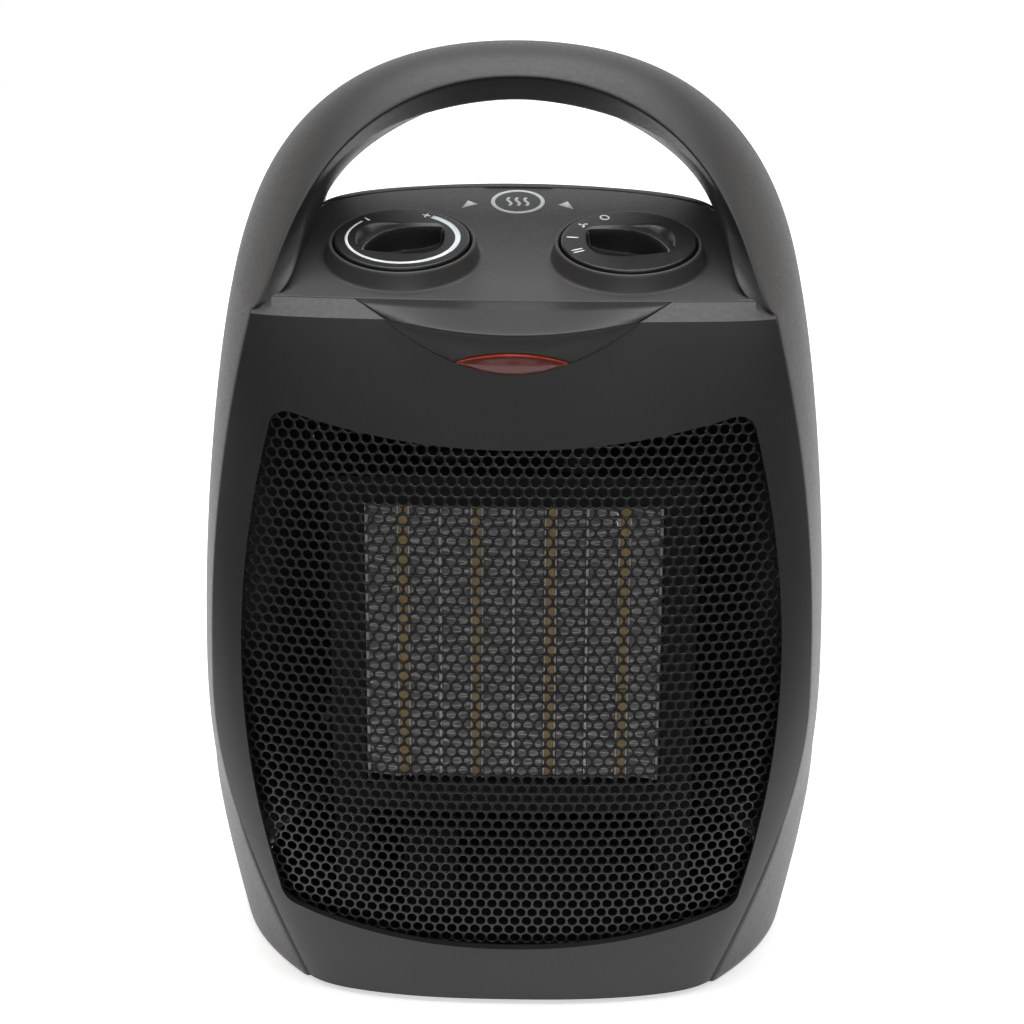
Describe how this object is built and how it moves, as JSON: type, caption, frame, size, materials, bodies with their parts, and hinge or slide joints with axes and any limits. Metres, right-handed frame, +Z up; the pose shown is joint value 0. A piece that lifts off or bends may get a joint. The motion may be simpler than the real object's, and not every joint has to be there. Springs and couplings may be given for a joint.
{
  "type": "ceramic space heater",
  "caption": "Upright ceramic fan heater with a carrying hoop, control dials on a sloping top panel and a curved perforated front grille.",
  "frame": {"origin": "on the floor, at the middle of the heater's width and depth", "axes": "+Z up, the front grille faces -Y, +X across the width"},
  "size_m": [0.1786, 0.146, 0.262],
  "materials": {
    "black_plastic": "fine satin grain",
    "dark_plastic": "matt",
    "grille_paint": "satin black enamel",
    "rubber": "matt",
    "red_lens": "clear red moulding",
    "lamp_glass": "clear",
    "aluminium": "mill finish foil",
    "steel": "zinc plated",
    "ceramic": "matt, unglazed",
    "copper": "enamelled copper winding",
    "brass": "turned",
    "nylon": "natural"
  },
  "bodies": {
    "housing": {"front_panel": "black_plastic", "front_grille": "grille_paint", "front_housing": "black_plastic", "rear_housing": "black_plastic", "top_panel": "black_plastic", "base_plate": "dark_plastic", "intake_screen": "grille_paint", "indicator_lens": "red_lens", "indicator_lamp": "lamp_glass", "thermostat_body": "nylon", "selector_body": "nylon", "ceramic_bar_1": "ceramic", "ceramic_bar_2": "ceramic", "ceramic_bar_3": "ceramic", "ceramic_bar_4": "ceramic", "fin_stack_1": "aluminium", "fin_stack_2": "aluminium", "fin_stack_3": "aluminium", "fin_stack_4": "aluminium", "fin_stack_5": "aluminium", "fin_stack_6": "aluminium", "fin_stack_7": "aluminium", "fin_stack_8": "aluminium", "divider_plate_1": "aluminium", "divider_plate_2": "aluminium", "divider_plate_3": "aluminium", "divider_plate_4": "aluminium", "divider_plate_5": "aluminium", "heater_frame": "dark_plastic", "air_duct": "dark_plastic", "fan_shroud": "dark_plastic", "motor_stator": "steel", "motor_coil": "copper", "motor_bracket": "steel", "thermal_cutout": "aluminium", "thermal_fuse": "nylon", "terminal_block": "nylon", "cord_inlet": "rubber", "tip_switch_body": "dark_plastic", "tip_switch_spring": "steel", "foot_1": "rubber", "foot_2": "rubber", "foot_3": "rubber", "foot_4": "rubber", "housing_screw_1": "steel", "housing_screw_2": "steel", "housing_screw_3": "steel", "housing_screw_4": "steel"},
    "thermostat_dial": {"thermostat_knob": "black_plastic", "thermostat_shaft": "brass"},
    "selector_dial": {"selector_knob": "black_plastic", "selector_shaft": "brass"},
    "fan": {"fan_impeller": "dark_plastic", "motor_shaft": "steel", "motor_rotor": "aluminium"},
    "tip_plunger": {"tip_switch_plunger": "nylon"}
  },
  "joints": [
    {"name": "thermostat_turn", "type": "hinge", "parent": "housing", "child": "thermostat_dial", "pos_m": [-0.0306, -0.0302, 0.21], "axis": [0, -0.165, 0.9863], "range_deg": [-15, 270]},
    {"name": "selector_turn", "type": "hinge", "parent": "housing", "child": "selector_dial", "pos_m": [0.0306, -0.0302, 0.21], "axis": [0, -0.165, 0.9863], "range_deg": [-77, 14]},
    {"name": "fan_spin", "type": "hinge", "parent": "housing", "child": "fan", "pos_m": [0, 0.019, 0.094], "axis": [0, 1, 0], "continuous": true},
    {"name": "tip_switch_press", "type": "slide", "parent": "housing", "child": "tip_plunger", "axis": [0, 0, -1], "range_m": [0, 0.005], "stiffness_N_per_m": 100, "springref_m": 0.0075, "deforming": ["tip_switch_spring"]}
  ]
}
